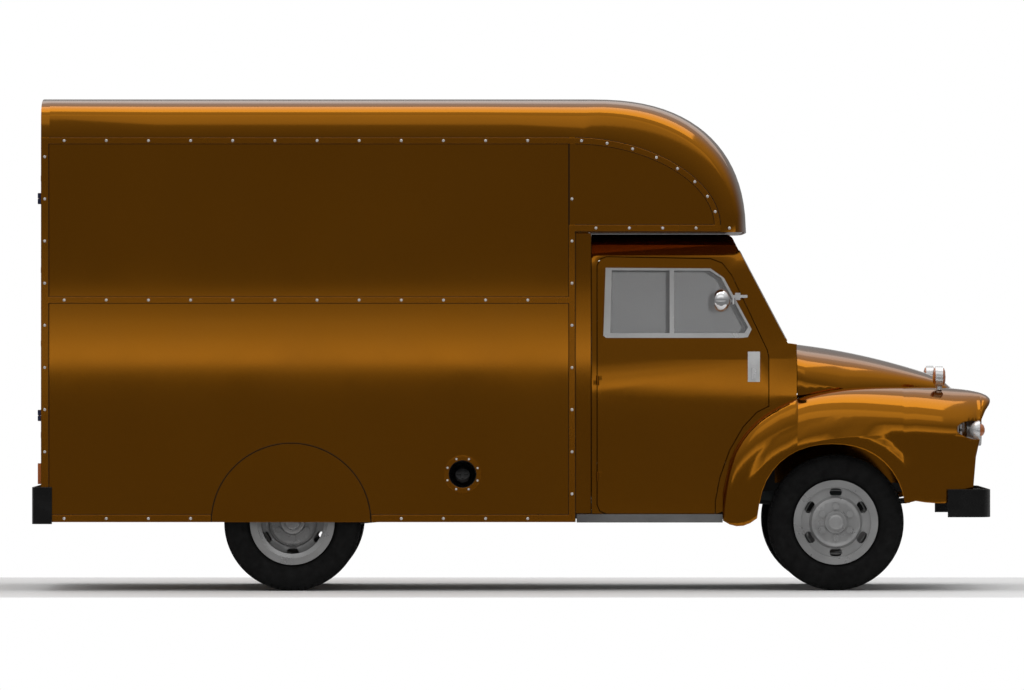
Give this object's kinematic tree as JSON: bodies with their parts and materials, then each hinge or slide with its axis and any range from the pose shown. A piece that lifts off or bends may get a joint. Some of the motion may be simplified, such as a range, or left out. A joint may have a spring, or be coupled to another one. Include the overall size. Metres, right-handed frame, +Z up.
{
  "type": "mail delivery truck",
  "caption": "Bonneted mail delivery truck with a tall box body reaching over the cab, sprung axles, steered front wheels, cab doors, drop glasses, bonnet and rear doors.",
  "frame": {"origin": "centre of the bounding box on the ground", "axes": "+X forward, +Y to the truck's left, +Z up"},
  "size_m": [5.376, 2.134, 2.766],
  "materials": {
    "brown_body": "satin",
    "brown_steel": "satin",
    "brown_ply": "matte",
    "black_steel": "satin",
    "black_alloy": "matte",
    "bare_steel": "satin",
    "engine_grey": "satin",
    "wheel_grey": "satin",
    "bright_metal": "polished",
    "tyre_black": "matte",
    "window_glass": "gloss",
    "orange_lens": "gloss",
    "black_plastic": "matte",
    "seat_cloth": "matte",
    "floor_wood": "matte",
    "step_grey": "satin"
  },
  "bodies": {
    "truck": {"chassis_frame": "black_steel", "bumpers": "black_steel", "engine": "engine_grey", "radiator": "black_alloy", "exhaust": "black_alloy", "fuel_tank": "black_alloy", "cab_shell": "brown_body", "cab_fittings": "black_plastic", "seat_pads": "seat_cloth", "cab_glass": "window_glass", "front_wings": "brown_body", "nose_panel": "brown_body", "brightwork": "bright_metal", "lamp_lenses": "orange_lens", "cab_steps": "step_grey", "box_floor": "floor_wood", "box_sides": "brown_body", "box_roof": "brown_ply", "box_frame": "brown_ply", "box_bulkhead": "brown_ply", "roof_bows": "brown_ply", "cab_floor": "black_steel", "box_trim": "brown_body", "box_screws": "brown_body", "front_springs": "black_steel", "rear_springs": "black_steel"},
    "front_axle_set": {"front_axle": "black_steel"},
    "rear_axle_set": {"rear_axle": "black_steel"},
    "left_knuckle": {"knuckle_left": "bare_steel"},
    "right_knuckle": {"knuckle_right": "bare_steel"},
    "tie_rod": {"tie_rod": "bare_steel"},
    "front_left_wheel": {"wheel_front_left": "wheel_grey", "tyre_front_left": "tyre_black"},
    "front_right_wheel": {"wheel_front_right": "wheel_grey", "tyre_front_right": "tyre_black"},
    "rear_left_wheel": {"wheel_rear_left": "wheel_grey", "tyre_rear_left": "tyre_black"},
    "rear_right_wheel": {"wheel_rear_right": "wheel_grey", "tyre_rear_right": "tyre_black"},
    "steering_wheel": {"steering_wheel": "black_plastic"},
    "propshaft": {"propshaft": "bare_steel"},
    "fan": {"fan": "black_steel"},
    "bonnet": {"bonnet": "brown_steel"},
    "right_cab_door": {"cab_door_right": "brown_body", "door_bright_right": "bright_metal", "door_pane_right": "window_glass"},
    "left_cab_door": {"cab_door_left": "brown_body", "door_bright_left": "bright_metal", "door_pane_left": "window_glass"},
    "right_drop_glass": {"drop_glass_right": "window_glass"},
    "left_drop_glass": {"drop_glass_left": "window_glass"},
    "right_door_handle": {"door_handle_right": "bright_metal"},
    "left_door_handle": {"door_handle_left": "bright_metal"},
    "right_rear_door": {"rear_door_right": "brown_ply"},
    "left_rear_door": {"rear_door_left": "brown_ply"},
    "rear_door_handle": {"rear_door_handle": "bright_metal"},
    "right_mirror": {"mirror_right": "bright_metal"},
    "left_mirror": {"mirror_left": "bright_metal"},
    "fuel_cap": {"fuel_cap": "bare_steel"},
    "gear_lever": {"gear_lever": "black_plastic"},
    "handbrake_lever": {"handbrake_lever": "black_plastic"},
    "clutch_pedal": {"clutch_pedal": "black_steel"},
    "brake_pedal": {"brake_pedal": "black_steel"}
  },
  "joints": [
    {"name": "front_axle_travel", "type": "slide", "parent": "truck", "child": "front_axle_set", "axis": [0, 0, 1], "range_m": [-0.04, 0.04], "stiffness_N_per_m": 220000, "springref_m": -0.04566, "deforming": ["front_springs"]},
    {"name": "rear_axle_travel", "type": "slide", "parent": "truck", "child": "rear_axle_set", "axis": [0, 0, 1], "range_m": [-0.05, 0.05], "stiffness_N_per_m": 280000, "springref_m": -0.03407, "deforming": ["rear_springs"]},
    {"name": "steer_left", "type": "hinge", "parent": "front_axle_set", "child": "left_knuckle", "pos_m": [1.818, 0.69, 0.3825], "axis": [0, 0, 1], "range_deg": [-28, 28]},
    {"name": "steer_right", "type": "hinge", "parent": "front_axle_set", "child": "right_knuckle", "pos_m": [1.818, -0.69, 0.3825], "axis": [0, 0, 1], "range_deg": [-28, 28]},
    {"name": "tie_rod_swing", "type": "hinge", "parent": "left_knuckle", "child": "tie_rod", "pos_m": [1.648, 0.69, 0.3095], "axis": [0, 0, 1], "range_deg": [-28, 28]},
    {"name": "steering_wheel_turn", "type": "hinge", "parent": "truck", "child": "steering_wheel", "pos_m": [1.04, -0.4, 1.27], "axis": [-0.6691, 0, 0.7431], "range_deg": [-336, 336]},
    {"name": "front_left_wheel_spin", "type": "hinge", "parent": "left_knuckle", "child": "front_left_wheel", "pos_m": [1.818, 0.8295, 0.3825], "axis": [0, 1, 0], "continuous": true},
    {"name": "front_right_wheel_spin", "type": "hinge", "parent": "right_knuckle", "child": "front_right_wheel", "pos_m": [1.818, -0.8295, 0.3825], "axis": [0, 1, 0], "continuous": true},
    {"name": "rear_left_wheel_spin", "type": "hinge", "parent": "rear_axle_set", "child": "rear_left_wheel", "pos_m": [-1.232, 0.81, 0.3825], "axis": [0, 1, 0], "continuous": true},
    {"name": "rear_right_wheel_spin", "type": "hinge", "parent": "rear_axle_set", "child": "rear_right_wheel", "pos_m": [-1.232, -0.81, 0.3825], "axis": [0, 1, 0], "continuous": true},
    {"name": "propshaft_spin", "type": "hinge", "parent": "truck", "child": "propshaft", "pos_m": [-0.996, 0, 0.3825], "axis": [0.9959, 0, 0.0904], "continuous": true},
    {"name": "fan_spin", "type": "hinge", "parent": "truck", "child": "fan", "pos_m": [2.22, 0, 0.8], "axis": [1, 0, 0], "continuous": true},
    {"name": "bonnet_lift", "type": "hinge", "parent": "truck", "child": "bonnet", "pos_m": [1.602, 0, 1.386], "axis": [0, 1, 0], "range_deg": [-50, 0]},
    {"name": "right_cab_door_swing", "type": "hinge", "parent": "truck", "child": "right_cab_door", "pos_m": [0.48, -0.892, 1.1], "axis": [0, 0, 1], "range_deg": [-70, 0]},
    {"name": "left_cab_door_swing", "type": "hinge", "parent": "truck", "child": "left_cab_door", "pos_m": [0.48, 0.892, 1.1], "axis": [0, 0, 1], "range_deg": [0, 70]},
    {"name": "right_glass_drop", "type": "slide", "parent": "right_cab_door", "child": "right_drop_glass", "axis": [0, -0.0594, -0.9982], "range_m": [0, 0.3]},
    {"name": "left_glass_drop", "type": "slide", "parent": "left_cab_door", "child": "left_drop_glass", "axis": [0, 0.0594, -0.9982], "range_m": [0, 0.3]},
    {"name": "right_door_handle_turn", "type": "hinge", "parent": "right_cab_door", "child": "right_door_handle", "pos_m": [1.36, -0.883, 1.285], "axis": [0, 1, 0], "range_deg": [0, 35], "stiffness_Nm_per_rad": 2},
    {"name": "left_door_handle_turn", "type": "hinge", "parent": "left_cab_door", "child": "left_door_handle", "pos_m": [1.36, 0.883, 1.285], "axis": [0, 1, 0], "range_deg": [0, 35], "stiffness_Nm_per_rad": 2},
    {"name": "right_rear_door_swing", "type": "hinge", "parent": "truck", "child": "right_rear_door", "pos_m": [-2.649, -0.964, 1.5], "axis": [0, 0, 1], "range_deg": [0, 120]},
    {"name": "left_rear_door_swing", "type": "hinge", "parent": "truck", "child": "left_rear_door", "pos_m": [-2.649, 0.964, 1.5], "axis": [0, 0, 1], "range_deg": [-120, 0]},
    {"name": "rear_door_handle_turn", "type": "hinge", "parent": "right_rear_door", "child": "rear_door_handle", "pos_m": [-2.638, -0.06, 1.5], "axis": [1, 0, 0], "range_deg": [0, 90]},
    {"name": "right_mirror_turn", "type": "hinge", "parent": "right_cab_door", "child": "right_mirror", "pos_m": [1.24, -0.935, 1.626], "axis": [0, 0, 1], "range_deg": [-20, 20]},
    {"name": "left_mirror_turn", "type": "hinge", "parent": "left_cab_door", "child": "left_mirror", "pos_m": [1.24, 0.935, 1.626], "axis": [0, 0, 1], "range_deg": [-20, 20]},
    {"name": "fuel_cap_turn", "type": "hinge", "parent": "truck", "child": "fuel_cap", "pos_m": [-0.277, -1.01, 0.647], "axis": [0, -0.7314, 0.682], "range_deg": [0, 90]},
    {"name": "gear_lever_shift", "type": "hinge", "parent": "truck", "child": "gear_lever", "pos_m": [1.13, 0, 0.69], "axis": [0, 1, 0], "range_deg": [-8, 8]},
    {"name": "handbrake_pull", "type": "hinge", "parent": "truck", "child": "handbrake_lever", "pos_m": [0.9, -0.15, 0.74], "axis": [0, 1, 0], "range_deg": [0, 22]},
    {"name": "clutch_pedal_push", "type": "hinge", "parent": "truck", "child": "clutch_pedal", "pos_m": [1.4, -0.47, 1.05], "axis": [0, 1, 0], "range_deg": [-11, 0], "stiffness_Nm_per_rad": 40, "springref_deg": 5.73},
    {"name": "brake_pedal_push", "type": "hinge", "parent": "truck", "child": "brake_pedal", "pos_m": [1.4, -0.37, 1.05], "axis": [0, 1, 0], "range_deg": [-11, 0], "stiffness_Nm_per_rad": 40, "springref_deg": 5.73}
  ],
  "couplings": [
    {"joint": "steer_right", "follows": "steer_left", "ratio": 1},
    {"joint": "tie_rod_swing", "follows": "steer_left", "ratio": -1},
    {"joint": "steering_wheel_turn", "follows": "steer_left", "ratio": 12}
  ]
}
